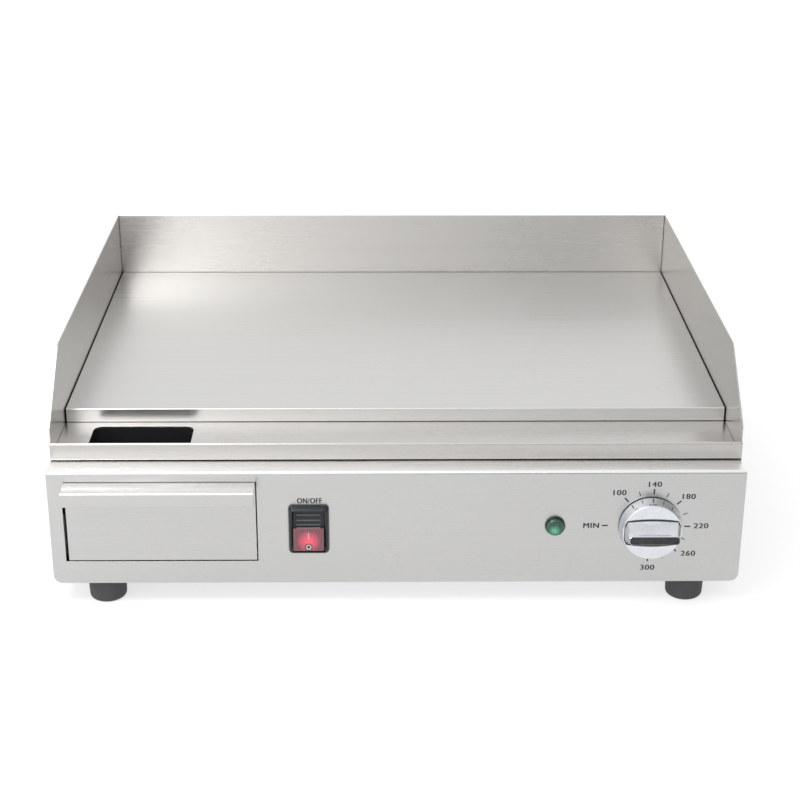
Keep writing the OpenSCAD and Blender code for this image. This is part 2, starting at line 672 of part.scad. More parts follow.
housing_shell();
front_panel();
rear_panel();
bottom_plate();
top_gasket();
gutter_frame();
drain_chute();
cooking_plate();
left_splash_guard();
right_splash_guard();
rear_splash_guard();
drawer_front();
drawer_box();
left_drawer_rail();
right_drawer_rail();
front_left_foot();
front_right_foot();
rear_left_foot();
rear_right_foot();
foot_screws();
foot_nuts();
left_heating_element();
right_heating_element();
element_pins();
plate_studs();
clamp_bars();
clamp_nuts();
insulation_pad();
heat_shield();
thermostat_body();
thermostat_bracket();
thermostat_screws();
thermostat_shaft();
knob();
capillary_tube();
sensor_bulb();
bulb_sleeve();
switch_frame();
switch_terminals();
rocker_paddle();
rocker_lens();
lamp_lens();
lamp_body();
lamp_nut();
terminal_block();
cable_gland();
gland_locknut();
earth_stud();
earth_nuts();
supply_wires();
control_wires();
element_wires();
rear_panel_screws();
bottom_plate_screws();
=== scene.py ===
"""Looks of the electric griddle: brushed steel, chrome knob, switch, lamp, dial and feet."""
import math

import bmesh
import bpy
from mathutils import Matrix, Vector


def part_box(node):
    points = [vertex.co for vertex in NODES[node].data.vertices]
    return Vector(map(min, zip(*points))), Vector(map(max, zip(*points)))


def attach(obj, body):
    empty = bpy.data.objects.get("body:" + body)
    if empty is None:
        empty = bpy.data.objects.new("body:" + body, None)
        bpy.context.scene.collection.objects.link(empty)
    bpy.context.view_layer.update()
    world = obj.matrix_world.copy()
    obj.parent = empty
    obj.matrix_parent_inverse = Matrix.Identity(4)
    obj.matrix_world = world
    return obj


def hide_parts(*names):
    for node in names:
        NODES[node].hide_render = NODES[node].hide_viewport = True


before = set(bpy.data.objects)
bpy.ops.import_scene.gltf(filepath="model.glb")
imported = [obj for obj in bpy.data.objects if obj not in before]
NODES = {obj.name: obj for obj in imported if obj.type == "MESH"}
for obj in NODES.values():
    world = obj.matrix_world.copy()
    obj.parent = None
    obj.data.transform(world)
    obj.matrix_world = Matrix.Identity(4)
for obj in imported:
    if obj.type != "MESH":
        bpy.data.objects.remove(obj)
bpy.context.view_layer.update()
MM = 0.001

# ---------------------------------------------------------------- places taken from the CAD

FRONT_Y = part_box("front_panel")[0].y


def middle(node):
    low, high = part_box(node)
    return (low + high) / 2


KNOB = middle("knob")
LAMP = middle("lamp_body")
SWITCH = middle("switch_frame")

# ---------------------------------------------------------------- small node-graph helper

EDGE_SAMPLES = 4
CREASE_SAMPLES = 6
FLAT_DOT = 0.99  # the rounded and the plain normal agree this well on a flat
EDGE_DOT = 0.75  # and only this well on an edge


class Graph:
    """A material's node tree, with short names for what is used here."""

    def __init__(self, name):
        self.material = bpy.data.materials.new(name)
        self.material.use_nodes = True
        self.tree = self.material.node_tree
        self.shader = self.tree.nodes["Principled BSDF"]
        self.coords = self.add("ShaderNodeTexCoord").outputs["Object"]

    def add(self, kind, **settings):
        made = self.tree.nodes.new(kind)
        for key, value in settings.items():
            setattr(made, key, value)
        return made

    def plug(self, target, value):
        if isinstance(value, bpy.types.NodeSocket):
            self.tree.links.new(value, target)
        else:
            target.default_value = value

    def noise(self, scale, detail=2.0, rough=0.5, distortion=0.0):
        """Noise over object coordinates; scale is in cycles per metre, one or one per axis."""
        mapping = self.add("ShaderNodeMapping")
        self.plug(mapping.inputs["Vector"], self.coords)
        mapping.inputs["Scale"].default_value = scale if isinstance(scale, tuple) else (scale,) * 3
        made = self.add("ShaderNodeTexNoise")
        self.plug(made.inputs["Vector"], mapping.outputs["Vector"])
        made.inputs["Scale"].default_value = 1.0
        made.inputs["Detail"].default_value = detail
        made.inputs["Roughness"].default_value = rough
        made.inputs["Distortion"].default_value = distortion
        return made.outputs["Fac"]

    def ramp(self, value, low, high, to_low=0.0, to_high=1.0):
        made = self.add("ShaderNodeMapRange")
        self.plug(made.inputs["Value"], value)
        for key, number in (("From Min", low), ("From Max", high),
                            ("To Min", to_low), ("To Max", to_high)):
            made.inputs[key].default_value = number
        return made.outputs["Result"]

    def math(self, kind, a, b):
        made = self.add("ShaderNodeMath", operation=kind)
        self.plug(made.inputs[0], a)
        self.plug(made.inputs[1], b)
        return made.outputs[0]

    def mix(self, factor, a, b):
        made = self.add("ShaderNodeMix", data_type="RGBA")
        self.plug(made.inputs["Factor"], factor)
        self.plug(made.inputs["A"], a)
        self.plug(made.inputs["B"], b)
        return made.outputs["Result"]

    def bump(self, height, strength, distance, below=None):
        made = self.add("ShaderNodeBump")
        self.plug(made.inputs["Height"], height)
        made.inputs["Strength"].default_value = strength
        made.inputs["Distance"].default_value = distance
        if below is not None:
            self.plug(made.inputs["Normal"], below)
        return made.outputs["Normal"]

    def edges(self, radius):
        """About 1 on edges and 0 on flats, from how far a rounded normal leans."""
        soft = self.add("ShaderNodeBevel", samples=EDGE_SAMPLES)
        soft.inputs["Radius"].default_value = radius
        plain = self.add("ShaderNodeNewGeometry")
        dot = self.add("ShaderNodeVectorMath", operation="DOT_PRODUCT")
        self.plug(dot.inputs[0], soft.outputs["Normal"])
        self.plug(dot.inputs[1], plain.outputs["Normal"])
        return self.ramp(dot.outputs["Value"], FLAT_DOT, EDGE_DOT)

    def painted_crease_shade(self, reach, shut=0.25, clear=0.75):
        """Painted shade: a factor from occlusion that falls from 1 in the open to 0 inside narrow
        seams and corners, where the colour is then darkened.
        """
        made = self.add("ShaderNodeAmbientOcclusion", samples=CREASE_SAMPLES)
        made.inputs["Distance"].default_value = reach
        return self.ramp(made.outputs["AO"], shut, clear)


def tint(colour, factor):
    """The colour made lighter or darker, with an alpha of 1."""
    return tuple(min(1.0, c * factor) for c in colour) + (1.0,)


# ---------------------------------------------------------------- materials

GRAIN_LONG = 5.0  # cycles per metre along the grain; the next two are across it
GRAIN_FINE = 1300.0
GRAIN_COARSE = 260.0
SMUDGE_SCALE = 9.0
SHEET_WAVES = 4.5  # the sheet's own gentle waves
WAVE_DEPTH = 2.0 * MM
GRAIN_DEPTH = 0.06 * MM
PAINTED_SEAM_SHADE = 0.3  # painted shade: the share of the colour left in a seam
PAINTED_TOP_FROM, PAINTED_TOP_TO = 0.35, 0.85  # painted light: how far up a normal points as the painted top light fades in, on the way to a level face
QUARTER_TURN = 0.25  # a full turn is 1


def brushed(name, colour, rough, along, around, grain, aniso=0.6, crease_shade_reach=2.2 * MM, painted_top_light=0.0):
    """Brushed steel. along is the grain's axis and grain its strength; around is the axis that the
    tangent circles; the crease reach is how far painted shade darkens creases; the top-light
    factor, if given, is painted light: level faces are painted that many times as bright as the
    upright ones, which take the colour as it is."""
    g = Graph(name)
    fine = tuple(GRAIN_LONG if a == along else GRAIN_FINE for a in "xyz")
    coarse = tuple(GRAIN_LONG * 0.5 if a == along else GRAIN_COARSE for a in "xyz")
    streak = g.noise(fine, 3.0, 0.65)
    band = g.noise(coarse, 2.0, 0.6)
    smudge = g.noise(SMUDGE_SCALE, 3.0, 0.6, 0.4)
    lines = g.math("ADD", g.ramp(streak, 0.3, 0.7, -0.5, 0.5), g.ramp(band, 0.3, 0.7, -0.5, 0.5))
    sheen = g.mix(g.ramp(lines, -0.8, 0.8),
                  tint(colour, 1 - 0.04 * grain), tint(colour, 1 + 0.035 * grain))
    # painted light: level faces are painted lighter or darker than upright ones by the top-light
    # factor
    if painted_top_light:
        split = g.add("ShaderNodeSeparateXYZ")
        g.plug(split.inputs[0], g.add("ShaderNodeNewGeometry").outputs["Normal"])
        level = g.mix(g.ramp(lines, -0.8, 0.8),
                      tint(colour, painted_top_light * 0.97), tint(colour, painted_top_light * 1.03))
        sheen = g.mix(g.ramp(split.outputs["Z"], PAINTED_TOP_FROM, PAINTED_TOP_TO), sheen, level)
    # painted shade: inside creases the colour falls to a dark share of itself
    g.plug(g.shader.inputs["Base Color"], g.mix(g.painted_crease_shade(crease_shade_reach), tint(colour, PAINTED_SEAM_SHADE), sheen))
    rough_lines = g.math("MULTIPLY", lines, 0.045 * grain)
    rough_smudge = g.ramp(smudge, 0.35, 0.7, -0.015, 0.022)
    g.plug(g.shader.inputs["Roughness"],
           g.math("ADD", g.math("ADD", rough_lines, rough_smudge), rough))
    waves = g.bump(g.noise(SHEET_WAVES, 1.0), 0.12, WAVE_DEPTH)
    g.plug(g.shader.inputs["Normal"], g.bump(lines, 0.10 * grain, GRAIN_DEPTH, waves))
    g.shader.inputs["Metallic"].default_value = 1.0
    g.shader.inputs["Anisotropic"].default_value = aniso
    g.shader.inputs["Anisotropic Rotation"].default_value = QUARTER_TURN if around == "Z" else 0.0
    tangent = g.add("ShaderNodeTangent", direction_type="RADIAL", axis=around)
    g.plug(g.shader.inputs["Tangent"], tangent.outputs["Tangent"])
    return g.material


def plated(name, colour, rough):
    """Dull plated or bare metal with a faint spangle."""
    g = Graph(name)
    spangle = g.noise(420.0, 2.0)
    cloud = g.noise(30.0, 3.0)
    g.plug(g.shader.inputs["Base Color"],
           g.mix(g.ramp(cloud, 0.35, 0.65), tint(colour, 0.9), tint(colour, 1.06)))
    g.plug(g.shader.inputs["Roughness"], g.ramp(spangle, 0.3, 0.7, rough - 0.06, rough + 0.08))
    g.plug(g.shader.inputs["Normal"], g.bump(spangle, 0.06, 0.1 * MM))
    g.shader.inputs["Metallic"].default_value = 1.0
    return g.material


def chrome(name, colour):
    """Polished chrome with fingerprints and hairline scratches, and painted shade that darkens it
    in its creases.
    """
    g = Graph(name)
    smear = g.noise(140.0, 3.0, 0.6, 1.5)
    hair = g.noise((60.0, 60.0, 2600.0), 1.0)
    clean = g.mix(g.ramp(smear, 0.4, 0.7), tint(colour, 1.0), tint(colour, 0.93))
    # painted shade: the chrome is painted near black inside its creases
    crease_shade = g.painted_crease_shade(2.2 * MM, shut=0.4, clear=0.8)
    g.plug(g.shader.inputs["Base Color"], g.mix(crease_shade, tint(colour, 0.12), clean))
    g.plug(g.shader.inputs["Roughness"], g.ramp(smear, 0.35, 0.7, 0.07, 0.15))
    g.plug(g.shader.inputs["Normal"], g.bump(hair, 0.03, 0.04 * MM))
    g.shader.inputs["Metallic"].default_value = 1.0
    return g.material


WORN_EDGE = 0.6 * MM
WORN_PALER = 0.09


def moulded(name, colour, rough, texture=900.0, depth=0.04 * MM, wear=0.35, shine=0.5):
    """Moulded plastic, rubber, enamel or ceramic: a fine texture, and paler edges. texture is in
    cycles per metre, depth is how deep it is, and wear is how much of the edge is paler."""
    g = Graph(name)
    spark = g.noise(texture, 2.0)
    cloud = g.noise(60.0, 3.0)
    edge = g.math("MULTIPLY", g.edges(WORN_EDGE), g.ramp(cloud, 0.3, 0.7, 0.4 * wear, wear))
    base = g.mix(g.ramp(cloud, 0.3, 0.7), tint(colour, 0.85), tint(colour, 1.15))
    worn = tuple(c + WORN_PALER for c in colour) + (1.0,)
    g.plug(g.shader.inputs["Base Color"], g.mix(edge, base, worn))
    g.plug(g.shader.inputs["Roughness"], g.ramp(spark, 0.3, 0.7, rough - 0.05, rough + 0.07))
    g.plug(g.shader.inputs["Normal"], g.bump(spark, 0.25, depth))
    g.shader.inputs["Specular IOR Level"].default_value = shine
    return g.material


def lens(name, colour, painted_glow_core, centre, reach, glow):
    """Tinted plastic with faint prism lines, lit from inside: its emission, the lamp's own glow,
    fades from the core colour at centre to the lens colour at reach, and its base colour is painted
    paler the same way, as painted light.
    """
    g = Graph(name)
    away = g.add("ShaderNodeVectorMath", operation="DISTANCE")
    g.plug(away.inputs[0], g.coords)
    away.inputs[1].default_value = centre
    painted_glow = g.ramp(away.outputs["Value"], 0.0, reach, 1.0, 0.0)
    ribs = g.noise((1400.0, 200.0, 200.0), 1.0)
    # painted light: the base colour is paler round the core, as the lamp's glow; the emission below
    # is the lamp's own light
    shade = g.mix(painted_glow, colour + (1.0,), painted_glow_core + (1.0,))
    g.plug(g.shader.inputs["Base Color"],
           g.mix(g.ramp(ribs, 0.35, 0.65, 0.0, 0.22), shade, tint(colour, 0.45)))
    g.plug(g.shader.inputs["Roughness"], g.ramp(ribs, 0.3, 0.7, 0.10, 0.2))
    g.plug(g.shader.inputs["Normal"], g.bump(ribs, 0.08, 0.1 * MM))
    g.shader.inputs["Coat Weight"].default_value = 0.6
    g.shader.inputs["Coat Roughness"].default_value = 0.06
    g.plug(g.shader.inputs["Emission Color"], shade)
    g.shader.inputs["Emission Strength"].default_value = glow
    return g.material


def printed(name, colour):
    """Screen-printed ink, slightly uneven."""
    g = Graph(name)
    patch = g.noise(700.0, 3.0)
    g.plug(g.shader.inputs["Base Color"],
           g.mix(g.ramp(patch, 0.3, 0.75), colour + (1.0,), tint(colour, 1.4)))
    g.plug(g.shader.inputs["Roughness"], g.ramp(patch, 0.3, 0.7, 0.45, 0.6))
    return g.material


def fibre(name, colour):
    """Matted or woven fibre."""
    g = Graph(name)
    strand = g.noise((900.0, 120.0, 900.0), 4.0, 0.7, 1.0)
    g.plug(g.shader.inputs["Base Color"], g.mix(strand, tint(colour, 0.8), tint(colour, 1.05)))
    g.plug(g.shader.inputs["Normal"], g.bump(strand, 0.6, 0.6 * MM))
    g.plug(g.shader.inputs["Roughness"], g.ramp(strand, 0.2, 0.8, 0.8, 0.98))
    return g.material


# upright sheets are brushed with the tangent around Z, level ones around X
# painted light and shade: these copies of one steel differ in base colour part by part; the left
# guard and the rear guard are painted lighter, the right guard and the housing sides darker, and
# each copy's painted top light differs
FRONT_STEEL = brushed("steel_front", (0.502, 0.5, 0.496), 0.27, "x", "Z", 0.4, painted_top_light=1.8)
REAR_STEEL_PAINTED_LIGHTER = brushed("steel_rear_painted_lighter", (0.61, 0.595, 0.58), 0.28, "x", "Z", 0.4)
SIDE_STEEL_PAINTED_DARKER = brushed("steel_side_painted_darker", (0.427, 0.412, 0.40), 0.25, "y", "Z", 0.45, crease_shade_reach=1.5 * MM)
LEFT_STEEL_PAINTED_LIGHTER = brushed("steel_left_painted_lighter", (0.555, 0.535, 0.521), 0.25, "y", "Z", 0.45, crease_shade_reach=1.5 * MM)
TOP_STEEL = brushed("steel_gutter", (0.475, 0.464, 0.453), 0.26, "x", "X", 0.45, painted_top_light=1.21)
PLATE_STEEL = brushed("steel_plate", (0.755, 0.755, 0.741), 0.30, "x", "X", 0.6, aniso=0.5,
                      crease_shade_reach=1.2 * MM, painted_top_light=0.83)
DRAWER_STEEL = brushed("steel_drawer", (0.5, 0.498, 0.494), 0.27, "x", "Z", 0.4, painted_top_light=1.44)
# painted shade: the drain chute is near black, standing for the shade deep in the drain hole
CHUTE_BLACK_PAINTED_SHADE = moulded("chute_painted_shade", (0.012, 0.012, 0.012), 0.42, texture=500.0, depth=0.06 * MM, wear=0.2)
ZINC = plated("zinc", (0.60, 0.61, 0.63), 0.42)
BRASS = plated("brass", (0.72, 0.55, 0.28), 0.35)
COPPER = plated("copper", (0.72, 0.40, 0.26), 0.35)
SHEATH = plated("sheath", (0.20, 0.18, 0.17), 0.55)
CHROME = chrome("chrome", (0.66, 0.68, 0.72))
RUBBER = moulded("rubber", (0.035, 0.035, 0.038), 0.62, texture=700.0, depth=0.08 * MM)
PLASTIC = moulded("plastic", (0.013, 0.016, 0.019), 0.36, shine=0.33)
# painted highlight: the rocker's ridges are painted paler than the rocker they stand on, for the
# light that catches their tops
RIDGE_PAINTED_HIGHLIGHT = moulded("ridge", (0.075, 0.082, 0.09), 0.4)
SEAL = moulded("seal", (0.02, 0.02, 0.02), 0.7)
WIRE = moulded("wire", (0.12, 0.07, 0.04), 0.45)
LAMP_RIM = moulded("lamp_rim", (0.002, 0.016, 0.009), 0.25, shine=0.3)
INK = printed("ink", (0.012, 0.012, 0.014))
# the pale ink of the on and off symbols, also used for the painted glint on the lens
MARK_AND_PAINTED_GLINT = printed("mark_and_painted_glint", (0.36, 0.30, 0.28))
MAT = fibre("mat", (0.82, 0.80, 0.75))
SLEEVE = fibre("sleeve", (0.78, 0.74, 0.62))
CERAMIC = moulded("ceramic", (0.62, 0.59, 0.50), 0.5, texture=500.0, depth=0.05 * MM, wear=0.2)

# the CAD nodes that aren't named here are zinc-plated
FINISHES = {
    "front_panel": FRONT_STEEL, "rear_panel": FRONT_STEEL, "rear_splash_guard": REAR_STEEL_PAINTED_LIGHTER,
    "housing_shell": SIDE_STEEL_PAINTED_DARKER, "left_splash_guard": LEFT_STEEL_PAINTED_LIGHTER, "right_splash_guard": SIDE_STEEL_PAINTED_DARKER,
    "gutter_frame": TOP_STEEL, "cooking_plate": PLATE_STEEL, "drawer_front": DRAWER_STEEL,
    "drawer_box": DRAWER_STEEL, "top_gasket": SEAL, "drain_chute": CHUTE_BLACK_PAINTED_SHADE,
    "left_heating_element": SHEATH, "right_heating_element": SHEATH, "element_pins": BRASS,
    "insulation_pad": MAT, "thermostat_body": CERAMIC, "thermostat_shaft": BRASS,
    "capillary_tube": COPPER, "sensor_bulb": COPPER, "switch_terminals": BRASS,
    "terminal_block": CERAMIC, "cable_gland": PLASTIC, "gland_locknut": PLASTIC,
    "earth_stud": BRASS, "earth_nuts": BRASS, "supply_wires": WIRE, "control_wires": WIRE,
    "element_wires": SLEEVE,
}

# bevel widths in millimetres, of the CAD nodes whose edges are seen close by
EDGES = {
    "front_panel": 0.4, "rear_panel": 0.3, "housing_shell": 0.3, "gutter_frame": 0.45,
    "cooking_plate": 0.8, "left_splash_guard": 0.35, "right_splash_guard": 0.35,
    "rear_splash_guard": 0.4, "drawer_front": 0.35, "drawer_box": 0.3, "bottom_plate": 0.3,
    "cable_gland": 0.5,
}
WELD_REACH = 0.005 * MM
FLAT_WITHIN = 0.5  # degrees: the triangles of one flat face
SHARP_FROM = 30  # degrees: the edges that a CAD node's bevel rounds
PIECE_SHARP_FROM = 28  # degrees: the same for a piece


def add_bevel(obj, width, segments, sharp_from):
    bevel = obj.modifiers.new("bevel", "BEVEL")
    bevel.width = width
    bevel.segments = segments
    bevel.limit_method = "ANGLE"
    bevel.angle_limit = math.radians(sharp_from)
    bevel.harden_normals = True


def round_edges(obj, width):
    """Welds the CAD mesh in modifiers, merges its flat triangles and bevels its sharp edges."""
    weld = obj.modifiers.new("weld", "WELD")
    weld.merge_threshold = WELD_REACH
    flat = obj.modifiers.new("flat", "DECIMATE")
    flat.decimate_type = "DISSOLVE"
    flat.angle_limit = math.radians(FLAT_WITHIN)
    add_bevel(obj, width, 3, SHARP_FROM)
    custom = obj.data.attributes.get("custom_normal")
    if custom is not None:
        obj.data.attributes.remove(custom)
    for face in obj.data.polygons:
        face.use_smooth = True


def finish_nodes():
    for name, obj in NODES.items():
        obj.data.materials.clear()
        obj.data.materials.append(FINISHES.get(name, ZINC))
        if name in EDGES:
            round_edges(obj, EDGES[name] * MM)


# ---------------------------------------------------------------- pieces in mesh code


def new_piece(name, bm, material, body, slot, stands_for=(), bevel=0.0, segments=2, smooth=40):
    """Makes an object from a bmesh, in the model's frame, and puts it on its body. smooth is the
    angle in degrees up to which its faces shade as one; stands_for is the CAD nodes it replaces."""
    bmesh.ops.recalc_face_normals(bm, faces=bm.faces)
    mesh = bpy.data.meshes.new(name)
    bm.to_mesh(mesh)
    bm.free()
    obj = bpy.data.objects.new(name, mesh)
    bpy.context.scene.collection.objects.link(obj)
    mesh.materials.append(material)
    mesh.shade_smooth()
    mesh.set_sharp_from_angle(angle=math.radians(smooth))
    if bevel:
        add_bevel(obj, bevel, segments, PIECE_SHARP_FROM)
    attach(obj, body)
    if stands_for:
        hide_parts(*stands_for)
    return obj


UPWARDS = Matrix.Identity(3)
FORWARDS = Matrix.Rotation(math.radians(90), 3, "X")


def lathe(bm, profile, centre, turn, steps):
    """Turns (radius, height) points about an axis through centre, UPWARDS or FORWARDS. A point of
    radius 0 closes the skin on the axis."""
    rings = []
    for radius, height in profile:
        count = steps if radius > 0.0 else 1
        ring = []
        for i in range(count):
            a = 2 * math.pi * i / steps
            spot = turn @ Vector((radius * math.cos(a), radius * math.sin(a), height))
            ring.append(bm.verts.new(spot + Vector(centre)))
        rings.append(ring)
    for low, high in zip(rings, rings[1:]):
        for i in range(steps):
            j = (i + 1) % steps
            around = [low[i % len(low)], low[j % len(low)],
                      high[j % len(high)], high[i % len(high)]]
            corners = list(dict.fromkeys(around))
            if len(corners) > 2:
                bm.faces.new(corners)


def loft(bm, rings, closed=True):
    """Joins rings of points, all the same length, into a skin."""
    made = [[bm.verts.new(p) for p in ring] for ring in rings]
    for a, b in zip(made, made[1:]):
        for i in range(len(a)):
            j = (i + 1) % len(a)
            bm.faces.new((a[i], a[j], b[j], b[i]))
    if closed:
        bm.faces.new(list(reversed(made[0])))
        bm.faces.new(made[-1])


def slab(bm, low, high):
    """A block between two corners, for ribs and marks; the larger ones get a bevel afterwards."""
    x0, y0, z0 = low
    x1, y1, z1 = high
    loft(bm, [[(x0, y0, z0), (x1, y0, z0), (x1, y1, z0), (x0, y1, z0)],
              [(x0, y0, z1), (x1, y0, z1), (x1, y1, z1), (x0, y1, z1)]])


def arc(centre, radius, start, end, steps):
    """Points (a, b) on an arc, angles in degrees."""
    made = []
    for i in range(steps + 1):
        t = math.radians(start + (end - start) * i / steps)
        made.append((centre[0] + radius * math.cos(t), centre[1] + radius * math.sin(t)))
    return made


# ---------------------------------------------------------------- feet

FOOT_NODES = ("front_left_foot", "front_right_foot", "rear_left_foot", "rear_right_foot")
FOOT_RECESS_R = 6.5 * MM
FOOT_RECESS_DEEP = 6.0 * MM
FOOT_SCREW_R = 3.2 * MM
FOOT_TAPER = 0.7 * MM
FOOT_ROUND = 3.4 * MM
TURNED_STEPS = 72


def make_feet():
    """Turned rubber feet: a screw's recess below, a round toe, a slight taper and a soft rim."""
    for node in FOOT_NODES:
        low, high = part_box(node)
        centre = middle(node)
        top = high.z
        wide = (high.x - low.x) / 2
        toe = wide - FOOT_TAPER - FOOT_ROUND
        profile = [(FOOT_RECESS_R, FOOT_RECESS_DEEP), (FOOT_RECESS_R, 0.6 * MM)]
        profile += [(FOOT_RECESS_R + 0.7 * MM, 0.0), (toe - 0.3 * MM, 0.0)]
        profile += arc((toe, FOOT_ROUND), FOOT_ROUND, -85, -2, 10)
        profile += [(wide - 0.35 * MM, top * 0.6), (wide - 0.1 * MM, top - 1.6 * MM)]
        profile += [(wide - 0.02 * MM, top - 1.0 * MM), (wide - 0.3 * MM, top - 0.3 * MM)]
        profile += [(wide - 0.9 * MM, top), (FOOT_SCREW_R, top)]
        bm = bmesh.new()
        lathe(bm, profile, (centre.x, centre.y, 0.0), UPWARDS, TURNED_STEPS)
        new_piece(node + "_rubber", bm, RUBBER, "griddle", "black_rubber", (node,))


# ---------------------------------------------------------------- knob

KNOB_STEPS = 128
SKIRT_GAP = 1.05 * MM  # from the panel to the skirt
SKIRT_RIM = 0.6 * MM
SKIRT_RIM_OUT = 3.4 * MM
SKIRT_OUT = 13.4 * MM
SKIRT_NARROWS = 0.944
SKIRT_SHOULDER = 0.9 * MM
GRIP_RINGS = 15
GRIP_ACROSS = 24
GRIP_WIDE = 0.885  # half its width at the root, in skirt radii
GRIP_NARROWS = 0.095  # how much less that is at the front
GRIP_EDGE = 3.2 * MM  # half its thickness at the front
GRIP_SWEEP_MIDDLE = 9.4 * MM  # what the sweep adds to that at the root
GRIP_SWEEP_ENDS = 7.0 * MM
GRIP_ROUND = 0.4 * MM
GRIP_LEAN = 0.33  # how far the front edge leans back for each step upwards
CORNER_FROM = 0.95  # where the outline's small corners begin, from 0 in the middle to 1
CORNER_DROP = 0.35
# painted shade: where the dark band at the grip's root sits and how deep it is
CREASE_SHADE_BEHIND = 0.9 * MM
CREASE_SHADE_DEEP = 1.35 * MM


def make_knob():
    low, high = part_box("knob")
    reach = FRONT_Y - low.y
    r = (high.x - low.x) / 2
    centre = (KNOB.x, FRONT_Y, KNOB.z)
    make_skirt(centre, r)
    make_grip(centre, r, reach)
    # painted shade: a dark band of seal where the grip rises from the skirt, standing for the shade
    # in that crease
    bm = bmesh.new()
    foot = SKIRT_OUT - CREASE_SHADE_BEHIND
    loft(bm, [grip_ring(centre, depth, r * GRIP_WIDE, 11.9 * MM, 9.75 * MM, 0.0)
              for depth in (foot, foot + CREASE_SHADE_DEEP)])
    new_piece("knob_painted_crease_shade", bm, SEAL, "control", "chrome")


def make_skirt(centre, r):
    front_r = r * SKIRT_NARROWS
    inside = r - SKIRT_RIM
    skirt = [(inside - 2.6 * MM, 3 * MM), (inside - 2.0 * MM, SKIRT_GAP), (inside, SKIRT_GAP)]
    skirt += arc((inside, SKIRT_GAP + SKIRT_RIM), SKIRT_RIM, -90, 0, 5) + [(r, SKIRT_RIM_OUT)]
    skirt += arc((front_r - SKIRT_SHOULDER, SKIRT_OUT - 1.1 * MM), SKIRT_SHOULDER, 5, 80, 6)
    skirt += [(r * 0.7, SKIRT_OUT - 0.1 * MM), (r * 0.4, SKIRT_OUT + 0.1 * MM)]
    skirt += [(0.0, SKIRT_OUT + 0.2 * MM)]
    bm = bmesh.new()
    lathe(bm, skirt, centre, FORWARDS, KNOB_STEPS)
    new_piece("knob_skirt", bm, CHROME, "control", "chrome", smooth=28)


def make_grip(centre, r, reach):
    """The grip, lofted from its root to its front edge; its cheeks sweep out towards the root."""
    root = SKIRT_OUT - 1.5 * MM
    tip = reach - 1.5 * MM
    rings = []
    for i in range(GRIP_RINGS):
        t = i / (GRIP_RINGS - 1)
        thick = GRIP_EDGE + GRIP_SWEEP_MIDDLE * (1 - t) ** 1.9
        ends = GRIP_EDGE + GRIP_SWEEP_ENDS * (1 - t) ** 1.15
        width = r * (GRIP_WIDE - GRIP_NARROWS * t)
        rings.append(grip_ring(centre, root + (tip - root) * t, width, thick, ends,
                               GRIP_LEAN * t ** 4))
    edge = GRIP_EDGE - GRIP_ROUND
    width = r * (GRIP_WIDE - GRIP_NARROWS) - GRIP_ROUND
    rings.append(grip_ring(centre, reach - 0.95 * MM, width, edge, edge, GRIP_LEAN))
    bm = bmesh.new()
    loft(bm, rings)
    new_piece("knob_grip", bm, CHROME, "control", "chrome", ("knob",), smooth=32)


def grip_ring(centre, depth, half_width, thick, ends, lean):
    """The grip's outline at one depth: thick is half its thickness in the middle and ends at the
    sides, and the corners are small and round; lean tips it so that it looks slightly upwards."""
    points = []
    for side in (1, -1):
        for i in range(GRIP_ACROSS + 1):
            t = -1 + 2 * i / GRIP_ACROSS
            corner = 1 - CORNER_DROP * max(0.0, abs(t) - CORNER_FROM) / (1 - CORNER_FROM)
            z = side * (ends + (thick - ends) * (1 - t * t)) * corner
            x = centre[0] + side * t * half_width
            points.append((x, centre[1] - depth + lean * z, centre[2] + z))
    return points


# ---------------------------------------------------------------- switch

CORNER_STEPS = 8
SWITCH_WINDOW = (12.7 * MM, 18.5 * MM)  # half its width and half its height
SWITCH_DEEP = 12.0 * MM
# the frame's flank: distance out of the panel, inset of its top and bottom, corner radius
SWITCH_FLANK = ((0.0, 0.0, 3.0), (1.4, 0.0, 3.0), (2.6, 0.25, 3.0),
                (4.4, 1.05, 3.0), (5.4, 1.7, 2.8))
SIDE_INSET = 0.75  # the sides lean in three quarters as much


def rounded(half_w, half_h, radius, depth):
    """A ring of points: a rounded rectangle around the switch, this far out of the panel."""
    points = []
    for sx, sz, start in ((1, 1, 0), (-1, 1, 90), (-1, -1, 180), (1, -1, 270)):
        middle_of_corner = (sx * (half_w - radius), sz * (half_h - radius))
        for x, z in arc(middle_of_corner, radius, start, start + 90, CORNER_STEPS):
            points.append((SWITCH.x + x, FRONT_Y - depth, SWITCH.z + z))
    return points


def make_switch_frame():
    low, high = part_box("switch_frame")
    half_w = (high.x - low.x) / 2
    half_h = (high.z - low.z) / 2
    front = FRONT_Y - low.y
    rings = [rounded(half_w - inset * MM * SIDE_INSET, half_h - inset * MM, r * MM, depth * MM)
             for depth, inset, r in SWITCH_FLANK]
    rings.append(rounded(half_w - 1.75 * MM, half_h - 2.2 * MM, 2.4 * MM, front - 0.15 * MM))
    rings.append(rounded(half_w - 2.2 * MM, half_h - 2.6 * MM, 2.0 * MM, front - 0.02 * MM))
    rings.append(rounded(*SWITCH_WINDOW, 1.0 * MM, front - 0.5 * MM))
    rings.append(rounded(*SWITCH_WINDOW, 0.8 * MM, -SWITCH_DEEP))
    bm = bmesh.new()
    loft(bm, rings, closed=False)
    new_piece("switch_bezel", bm, PLASTIC, "griddle", "black_plastic", ("switch_frame",), smooth=35)


# ---------------------------------------------------------------- rocker

PIVOT = Vector((SWITCH.x, FRONT_Y + 4 * MM, SWITCH.z))
ROCKER_LEAN = Matrix.Rotation(math.radians(-8), 3, "X")  # as the rocker stands at rest
